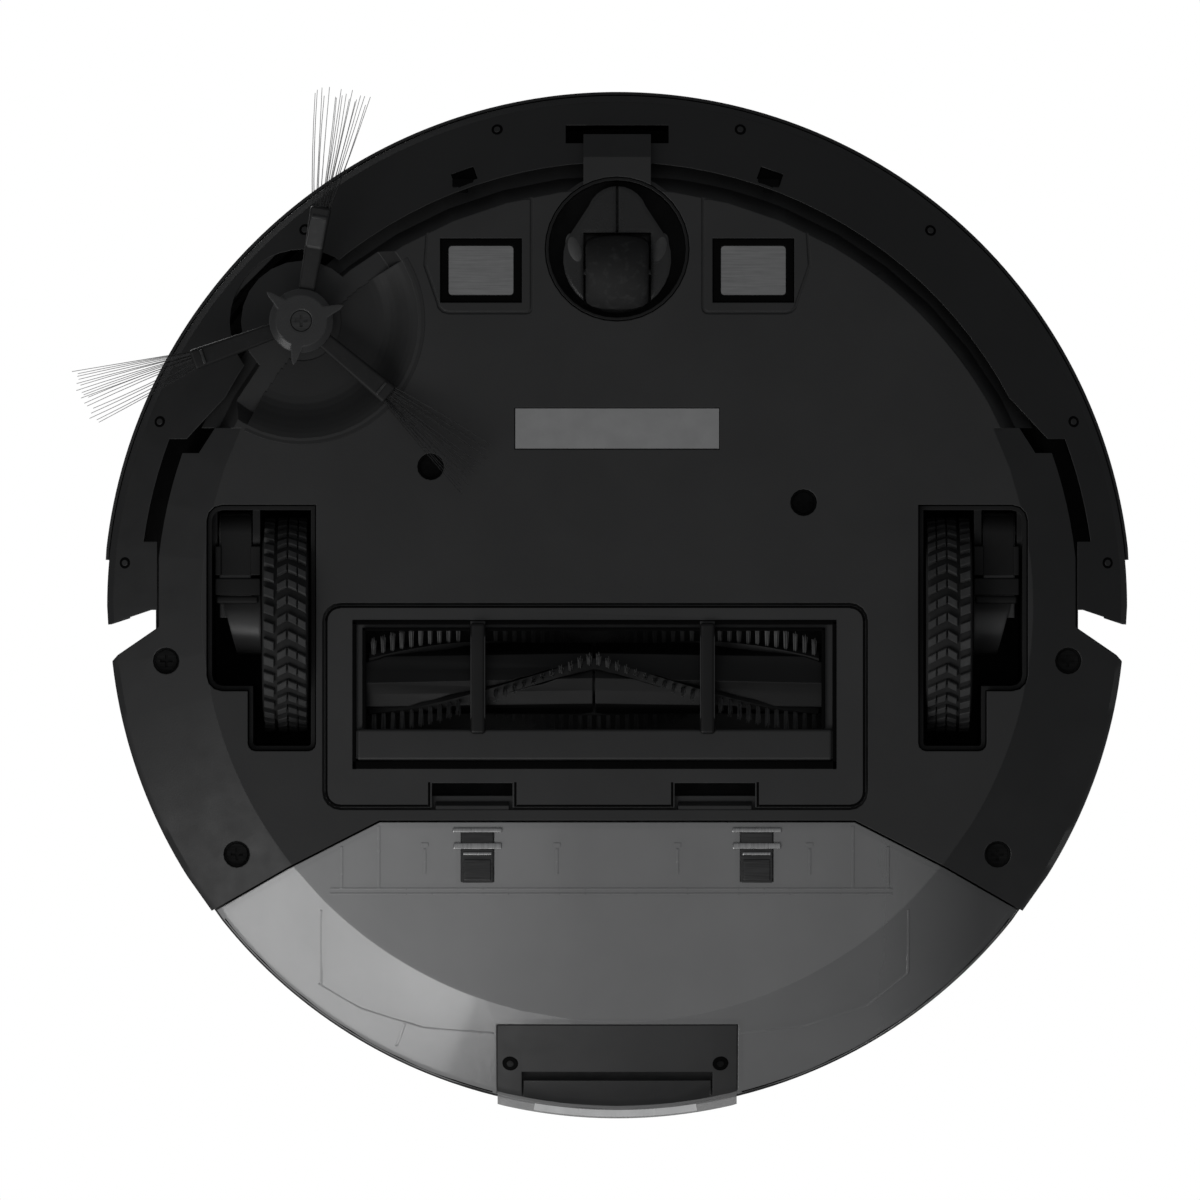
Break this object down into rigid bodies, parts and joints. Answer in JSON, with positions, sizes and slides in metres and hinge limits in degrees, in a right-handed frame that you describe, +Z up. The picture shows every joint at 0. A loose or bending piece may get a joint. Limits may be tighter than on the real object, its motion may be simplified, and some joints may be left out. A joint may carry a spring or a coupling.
{
  "type": "robot vacuum cleaner",
  "caption": "Round robot vacuum with sprung front bumper, chevron bristle brush behind a guard, side brush, drive wheels, front caster and removable rear dust bin.",
  "frame": {"origin": "on the floor, straight below the centre of the round body, with the wheels on the floor", "axes": "+Z up, -Y towards the front bumper, +X towards the machine's own left side"},
  "size_m": [0.3388, 0.3317, 0.081],
  "materials": {
    "body_plastic": "fine moulded grain",
    "black_plastic": "fine moulded grain",
    "gloss_black": "polished",
    "smoky_clear": "clear, smoke tinted",
    "rubber": "matt",
    "tyre_rubber": "matt, worn on the lugs",
    "soft_grey": "soft, satin",
    "bristle": "nylon",
    "steel": "zinc plated",
    "contact_metal": "satin nickel",
    "label_grey": "printed foil, left bare",
    "filter_white": "pleated paper",
    "board_green": "solder mask",
    "battery_blue": "shrink sleeve"
  },
  "bodies": {
    "main_body": {"chassis_base": "body_plastic", "top_cover": "body_plastic", "deck_panel": "gloss_black", "chassis_screw_1": "steel", "chassis_screw_2": "steel", "chassis_screw_3": "steel", "chassis_screw_4": "steel", "chassis_screw_5": "steel", "chassis_screw_6": "steel", "rating_label": "label_grey", "charge_contact_left": "contact_metal", "charge_contact_right": "contact_metal", "main_brush_bearing": "black_plastic", "side_brush_motor": "black_plastic", "caster_socket": "black_plastic", "wheel_housing_left": "black_plastic", "wheel_housing_right": "black_plastic", "battery_pack": "battery_blue", "main_board": "board_green", "brush_motor": "black_plastic", "fan_housing": "black_plastic"},
    "bumper": {"bumper_shell": "black_plastic", "bumper_skin": "body_plastic", "bumper_window": "gloss_black", "cliff_window_left": "gloss_black", "cliff_window_right": "gloss_black"},
    "dust_bin": {"bin_body": "smoky_clear", "bin_ramp": "smoky_clear", "bin_lid": "black_plastic", "bin_filter": "filter_white", "bin_latch_block": "black_plastic", "bin_clip_left": "steel", "bin_clip_right": "steel"},
    "bin_release": {"bin_release_button": "black_plastic"},
    "bin_inlet_flap": {"bin_flap": "rubber"},
    "brush_guard": {"brush_cover": "body_plastic", "scraper_strip": "rubber"},
    "main_brush": {"main_brush_core": "body_plastic", "main_brush_bristles_1": "bristle", "main_brush_bristles_2": "bristle", "main_brush_bristles_3": "bristle", "main_brush_coupling": "black_plastic"},
    "side_brush": {"side_brush_hub": "body_plastic", "side_brush_spider": "soft_grey", "side_brush_screw": "steel"},
    "caster_swivel": {"caster_fork": "body_plastic", "caster_axle": "steel"},
    "caster_roller": {"caster_wheel": "rubber"},
    "arm_left": {"drive_gearbox_left": "body_plastic"},
    "arm_right": {"drive_gearbox_right": "body_plastic"},
    "wheel_left": {"wheel_hub_left": "black_plastic", "tyre_left": "tyre_rubber"},
    "wheel_right": {"wheel_hub_right": "black_plastic", "tyre_right": "tyre_rubber"},
    "impeller": {"fan_impeller": "soft_grey"},
    "power_key": {"power_button": "gloss_black"},
    "home_key": {"home_button": "gloss_black"}
  },
  "joints": [
    {"name": "bumper_press", "type": "slide", "parent": "main_body", "child": "bumper", "axis": [0, 1, 0], "range_m": [0, 0.003], "stiffness_N_per_m": 300},
    {"name": "bin_slide", "type": "slide", "parent": "main_body", "child": "dust_bin", "axis": [0, 1, 0], "range_m": [0, 0.12]},
    {"name": "bin_release_press", "type": "slide", "parent": "dust_bin", "child": "bin_release", "axis": [0, -1, 0], "range_m": [0, 0.002], "stiffness_N_per_m": 400},
    {"name": "bin_flap_swing", "type": "hinge", "parent": "dust_bin", "child": "bin_inlet_flap", "pos_m": [0, 0.0727, 0.0429], "axis": [1, 0, 0], "range_deg": [0, 50]},
    {"name": "brush_guard_open", "type": "hinge", "parent": "main_body", "child": "brush_guard", "pos_m": [0, -0.0002, 0.009], "axis": [1, 0, 0], "range_deg": [-70, 0]},
    {"name": "main_brush_spin", "type": "hinge", "parent": "main_body", "child": "main_brush", "pos_m": [-0.00745, 0.0232, 0.0215], "axis": [1, 0, 0], "continuous": true},
    {"name": "side_brush_spin", "type": "hinge", "parent": "main_body", "child": "side_brush", "pos_m": [-0.1011, -0.0912, 0.009], "axis": [0, 0, 1], "continuous": true},
    {"name": "caster_turn", "type": "hinge", "parent": "main_body", "child": "caster_swivel", "pos_m": [0, -0.1143, 0.012], "axis": [0, 0, 1], "continuous": true},
    {"name": "caster_wheel_spin", "type": "hinge", "parent": "caster_swivel", "child": "caster_roller", "pos_m": [0, -0.1069, 0.012], "axis": [1, 0, 0], "continuous": true},
    {"name": "suspension_left", "type": "hinge", "parent": "main_body", "child": "arm_left", "pos_m": [0.122, -0.0235, 0.024], "axis": [1, 0, 0], "range_deg": [-35, 0], "stiffness_Nm_per_rad": 0.2, "springref_deg": -34.38},
    {"name": "suspension_right", "type": "hinge", "parent": "main_body", "child": "arm_right", "pos_m": [-0.122, -0.0235, 0.024], "axis": [1, 0, 0], "range_deg": [-35, 0], "stiffness_Nm_per_rad": 0.2, "springref_deg": -34.38},
    {"name": "wheel_left_spin", "type": "hinge", "parent": "arm_left", "child": "wheel_left", "pos_m": [0.1063, 0.006, 0.0345], "axis": [1, 0, 0], "continuous": true},
    {"name": "wheel_right_spin", "type": "hinge", "parent": "arm_right", "child": "wheel_right", "pos_m": [-0.1063, 0.006, 0.0345], "axis": [1, 0, 0], "continuous": true},
    {"name": "impeller_spin", "type": "hinge", "parent": "main_body", "child": "impeller", "pos_m": [0.014, 0.026, 0.05], "axis": [0, 0, 1], "continuous": true},
    {"name": "power_button_press", "type": "slide", "parent": "main_body", "child": "power_key", "axis": [0, 0, -1], "range_m": [0, 0.001], "stiffness_N_per_m": 600},
    {"name": "home_button_press", "type": "slide", "parent": "main_body", "child": "home_key", "axis": [0, 0, -1], "range_m": [0, 0.001], "stiffness_N_per_m": 600}
  ]
}
